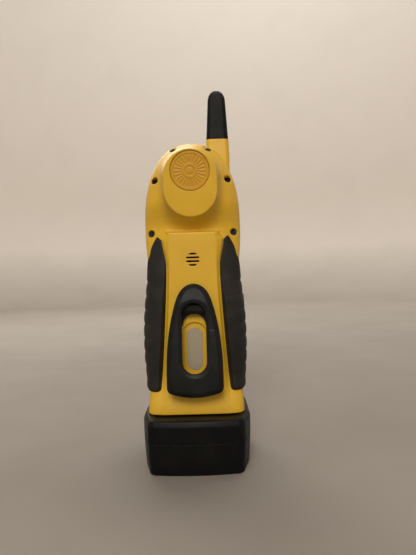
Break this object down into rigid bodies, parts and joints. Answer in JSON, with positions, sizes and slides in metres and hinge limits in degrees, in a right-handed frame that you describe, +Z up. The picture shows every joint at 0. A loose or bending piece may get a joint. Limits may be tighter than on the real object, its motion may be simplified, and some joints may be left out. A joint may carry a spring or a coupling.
{
  "type": "two way radio",
  "caption": "Hand-held two way radio: two-part housing with domed head, stub antenna, rubber side grips, sprung belt clip and a slide-on battery pack.",
  "frame": {"origin": "centre of the footprint on the surface that the battery pack stands on", "axes": "+Z up along the radio's length to the antenna tip, -Y out of the speaker and key face, +Y out of the belt clip face, antenna on the -X side"},
  "size_m": [0.0704, 0.06, 0.252],
  "materials": {
    "housing_plastic": "moulded, fine grain",
    "seal_rubber": "matte",
    "screw_steel": "dark zinc",
    "grip_rubber": "soft matte, ribbed",
    "emblem_plastic": "moulded",
    "label_foil": "dull foil",
    "antenna_rubber": "matte",
    "brass": "plain",
    "nylon": "plain",
    "clip_plastic": "moulded, satin",
    "inner_plastic": "plain",
    "panel_plastic": "moulded, satin",
    "display_lens": "clear",
    "display_grey": "plain",
    "circuit_board": "solder mask",
    "keypad_rubber": "plain",
    "inner_metal": "plain",
    "speaker_paper": "pressed paper",
    "pack_plastic": "moulded, satin",
    "cell_wrap": "shrink wrap",
    "foam": "foam pad",
    "latch_plastic": "moulded",
    "power_key_rubber": "satin",
    "key_rubber": "satin"
  },
  "bodies": {
    "housing": {"rear_cover": "housing_plastic", "front_cover": "housing_plastic", "cover_seal": "seal_rubber", "cover_screws": "screw_steel", "left_grip": "grip_rubber", "right_grip": "grip_rubber", "emblem_disc": "emblem_plastic", "rating_label": "label_foil", "antenna_sleeve": "antenna_rubber", "antenna_ferrule": "brass", "antenna_core": "nylon", "antenna_coil": "brass", "clip_bracket": "clip_plastic", "clip_pin": "screw_steel", "clip_spring": "screw_steel", "clip_screws": "screw_steel", "sounder": "inner_plastic", "face_panel": "panel_plastic", "display_lens": "display_lens", "display_module": "display_grey", "key_board": "circuit_board", "keypad_mat": "keypad_rubber", "speaker_frame": "inner_metal", "speaker_cone": "speaker_paper", "speaker_magnet": "inner_metal", "main_board": "circuit_board", "board_screws": "screw_steel", "shield_can": "inner_metal", "microphone": "inner_metal", "ptt_switch": "inner_metal", "contact_block": "inner_plastic", "contact_blades": "brass"},
    "belt_clip": {"belt_clip": "clip_plastic"},
    "battery_pack": {"pack_base": "pack_plastic", "pack_lid": "pack_plastic", "battery_cells": "cell_wrap", "cell_tabs": "inner_metal", "pack_foam": "foam", "pack_terminals": "brass", "pack_screws": "screw_steel"},
    "pack_latch": {"pack_latch": "latch_plastic"},
    "power_key": {"power_key": "power_key_rubber"},
    "menu_key": {"menu_key": "key_rubber"},
    "up_key": {"up_key": "key_rubber"},
    "down_key": {"down_key": "key_rubber"},
    "call_key": {"call_key": "key_rubber"},
    "scan_key": {"scan_key": "key_rubber"},
    "ptt_button": {"ptt_button": "grip_rubber"}
  },
  "joints": [
    {"name": "belt_clip_hinge", "type": "hinge", "parent": "housing", "child": "belt_clip", "pos_m": [0, 0.0162, 0.106], "axis": [1, 0, 0], "range_deg": [0, 8], "stiffness_Nm_per_rad": 1.2, "springref_deg": -14.32},
    {"name": "battery_pack_slide", "type": "slide", "parent": "housing", "child": "battery_pack", "axis": [0, 0, -1], "range_m": [0, 0.024]},
    {"name": "pack_latch_press", "type": "slide", "parent": "battery_pack", "child": "pack_latch", "axis": [0, 1, 0], "range_m": [0, 0.002], "stiffness_N_per_m": 900, "springref_m": -0.001},
    {"name": "ptt_button_press", "type": "slide", "parent": "housing", "child": "ptt_button", "axis": [1, 0, 0], "range_m": [0, 0.0015], "stiffness_N_per_m": 700, "springref_m": -0.0006},
    {"name": "power_key_press", "type": "slide", "parent": "housing", "child": "power_key", "axis": [0, 1, 0], "range_m": [0, 0.0008], "stiffness_N_per_m": 600, "springref_m": -0.0004},
    {"name": "menu_key_press", "type": "slide", "parent": "housing", "child": "menu_key", "axis": [0, 1, 0], "range_m": [0, 0.0008], "stiffness_N_per_m": 600, "springref_m": -0.0004},
    {"name": "up_key_press", "type": "slide", "parent": "housing", "child": "up_key", "axis": [0, 1, 0], "range_m": [0, 0.0008], "stiffness_N_per_m": 600, "springref_m": -0.0004},
    {"name": "down_key_press", "type": "slide", "parent": "housing", "child": "down_key", "axis": [0, 1, 0], "range_m": [0, 0.0008], "stiffness_N_per_m": 600, "springref_m": -0.0004},
    {"name": "call_key_press", "type": "slide", "parent": "housing", "child": "call_key", "axis": [0, 1, 0], "range_m": [0, 0.0008], "stiffness_N_per_m": 600, "springref_m": -0.0004},
    {"name": "scan_key_press", "type": "slide", "parent": "housing", "child": "scan_key", "axis": [0, 1, 0], "range_m": [0, 0.0008], "stiffness_N_per_m": 600, "springref_m": -0.0004}
  ]
}
